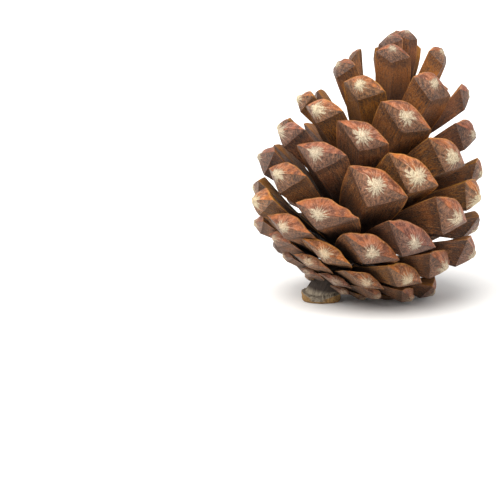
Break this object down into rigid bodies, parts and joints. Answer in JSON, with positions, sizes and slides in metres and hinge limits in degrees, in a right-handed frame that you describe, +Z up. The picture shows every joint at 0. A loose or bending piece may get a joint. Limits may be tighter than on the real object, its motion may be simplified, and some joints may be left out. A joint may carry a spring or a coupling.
{
  "type": "pine cone",
  "caption": "Open pine cone lying tilted on its broken stalk and lowest scales, with woody scales set in spirals round a bent core, each ending in a ridged shield.",
  "frame": {"origin": "middle of the footprint of the bounding box, at the level of the flat faces the cone rests on", "axes": "+Z up in the pose in which the cone rests; the cone's core leans from the stalk towards +X and a little towards +Y"},
  "size_m": [0.0698, 0.0694, 0.0798],
  "materials": {
    "scale_wood": "dry, matt to satin, reddish brown",
    "old_stalk": "rough, dry, grey brown"
  },
  "bodies": {
    "root": {"core_with_base": "old_stalk", "scale_24": "scale_wood", "scale_25": "scale_wood", "scale_26": "scale_wood", "scale_27": "scale_wood", "scale_28": "scale_wood", "scale_29": "scale_wood", "scale_30": "scale_wood", "scale_31": "scale_wood", "scale_32": "scale_wood", "scale_33": "scale_wood", "scale_34": "scale_wood", "scale_35": "scale_wood", "scale_36": "scale_wood", "scale_37": "scale_wood", "scale_38": "scale_wood", "scale_39": "scale_wood", "scale_40": "scale_wood", "scale_41": "scale_wood", "scale_42": "scale_wood", "scale_43": "scale_wood", "scale_44": "scale_wood", "scale_45": "scale_wood", "scale_46": "scale_wood", "scale_47": "scale_wood", "scale_48": "scale_wood", "scale_49": "scale_wood", "scale_50": "scale_wood", "scale_51": "scale_wood", "scale_52": "scale_wood", "scale_53": "scale_wood", "scale_54": "scale_wood", "scale_55": "scale_wood", "scale_56": "scale_wood", "scale_57": "scale_wood", "scale_58": "scale_wood", "scale_59": "scale_wood", "scale_60": "scale_wood", "scale_61": "scale_wood", "scale_62": "scale_wood", "scale_63": "scale_wood", "scale_64": "scale_wood", "scale_65": "scale_wood", "scale_66": "scale_wood", "scale_67": "scale_wood", "scale_68": "scale_wood", "scale_69": "scale_wood", "scale_70": "scale_wood", "scale_71": "scale_wood", "scale_72": "scale_wood", "scale_73": "scale_wood", "scale_74": "scale_wood", "scale_75": "scale_wood", "scale_76": "scale_wood", "scale_77": "scale_wood", "scale_78": "scale_wood", "scale_79": "scale_wood", "scale_80": "scale_wood", "scale_81": "scale_wood", "scale_82": "scale_wood"}
  },
  "joints": []
}
